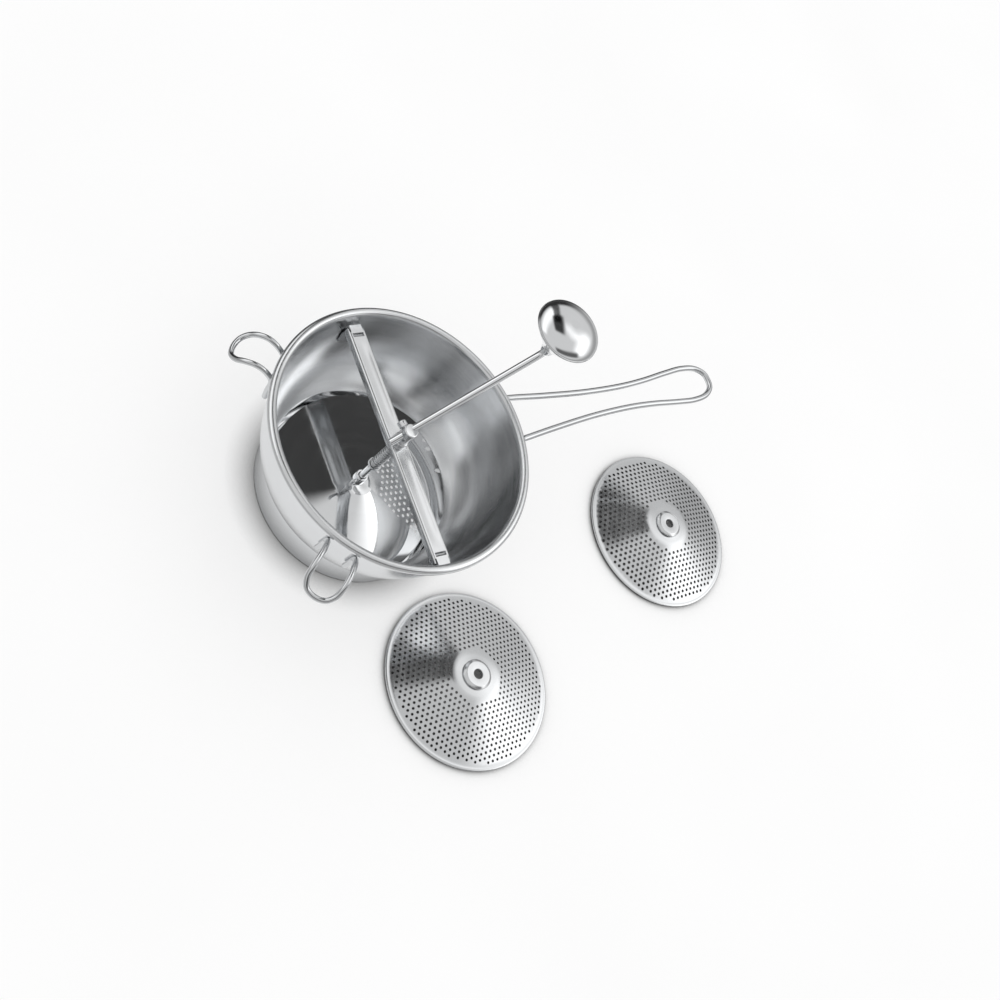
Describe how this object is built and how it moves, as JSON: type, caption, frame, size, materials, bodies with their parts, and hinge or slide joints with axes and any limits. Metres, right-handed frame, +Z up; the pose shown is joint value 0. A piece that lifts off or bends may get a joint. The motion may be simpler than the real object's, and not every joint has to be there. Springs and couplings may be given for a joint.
{
  "type": "food mill",
  "caption": "Stainless steel food mill: flared bowl on a ring, wire handle and rest hooks, sprung crank-driven helical blade under a bridge, and interchangeable perforated conical sieves.",
  "frame": {"origin": "centre of the set's bounding box in X and Y, on the surface that the bowl's base ring and the spare discs stand on; the crank axis is at x = -0.1405, y = 0.0773", "axes": "+Z up along the crank axis, +X along the handle away from the bowl, Y along the bridge bar"},
  "size_m": [0.539, 0.3976, 0.2446],
  "materials": {
    "bowl_steel": "satin-polished stainless steel with fine spinning lines",
    "wire_steel": "polished stainless steel wire",
    "bridge_steel": "polished pressed stainless steel",
    "drive_steel": "mirror-polished stainless steel",
    "spring_steel": "drawn stainless spring wire",
    "sieve_steel": "spun perforated stainless sheet"
  },
  "bodies": {
    "bowl_body": {"bowl": "bowl_steel", "handle_wire": "wire_steel", "hook_left": "wire_steel", "hook_right": "wire_steel", "bridge_bracket_left": "bowl_steel", "bridge_bracket_right": "bowl_steel"},
    "bridge": {"bridge_bar": "bridge_steel", "bridge_bush": "bridge_steel", "spring_upper_washer": "spring_steel", "spring": "spring_steel"},
    "spring_carrier": {"spring_lower_washer": "spring_steel"},
    "rotor": {"shaft": "drive_steel", "spring_pin": "drive_steel", "blade_plate": "drive_steel", "blade_hub": "drive_steel", "blade_hub_pin": "drive_steel", "crank_head": "drive_steel", "crank_arm": "drive_steel", "crank_lock_screw": "drive_steel", "knob_spindle": "drive_steel", "knob_collar": "drive_steel"},
    "knob": {"knob_bush": "drive_steel", "knob_shell": "drive_steel", "knob_cap": "drive_steel"},
    "fitted_sieve": {"fitted_sieve_plate": "sieve_steel", "fitted_sieve_boss": "sieve_steel"},
    "spare_sieve_1": {"spare_sieve_1_plate": "sieve_steel", "spare_sieve_1_boss": "sieve_steel"},
    "spare_sieve_2": {"spare_sieve_2_plate": "sieve_steel", "spare_sieve_2_boss": "sieve_steel"}
  },
  "joints": [
    {"name": "bridge_lift", "type": "slide", "parent": "bowl_body", "child": "bridge", "axis": [0, 0, 1], "range_m": [0, 0.16]},
    {"name": "blade_float", "type": "slide", "parent": "bridge", "child": "spring_carrier", "axis": [0, 0, 1], "range_m": [0, 0.004], "stiffness_N_per_m": 700, "springref_m": -0.012, "deforming": ["spring"]},
    {"name": "crank_turn", "type": "hinge", "parent": "spring_carrier", "child": "rotor", "pos_m": [-0.14055, 0.07725, 0.11], "axis": [0, 0, 1], "continuous": true},
    {"name": "knob_spin", "type": "hinge", "parent": "rotor", "child": "knob", "pos_m": [-0.0334, 0.09988, 0.22], "axis": [0, 0, 1], "continuous": true},
    {"name": "sieve_lift", "type": "slide", "parent": "bowl_body", "child": "fitted_sieve", "axis": [0, 0, 1], "range_m": [0, 0.08]},
    {"name": "spare_sieve_1_lift", "type": "slide", "parent": "bowl_body", "child": "spare_sieve_1", "axis": [0, 0, 1], "range_m": [0, 0.08]},
    {"name": "spare_sieve_2_lift", "type": "slide", "parent": "bowl_body", "child": "spare_sieve_2", "axis": [0, 0, 1], "range_m": [0, 0.08]}
  ],
  "couplings": [
    {"joint": "sieve_lift", "follows": "bridge_lift", "ratio": 0.5}
  ]
}
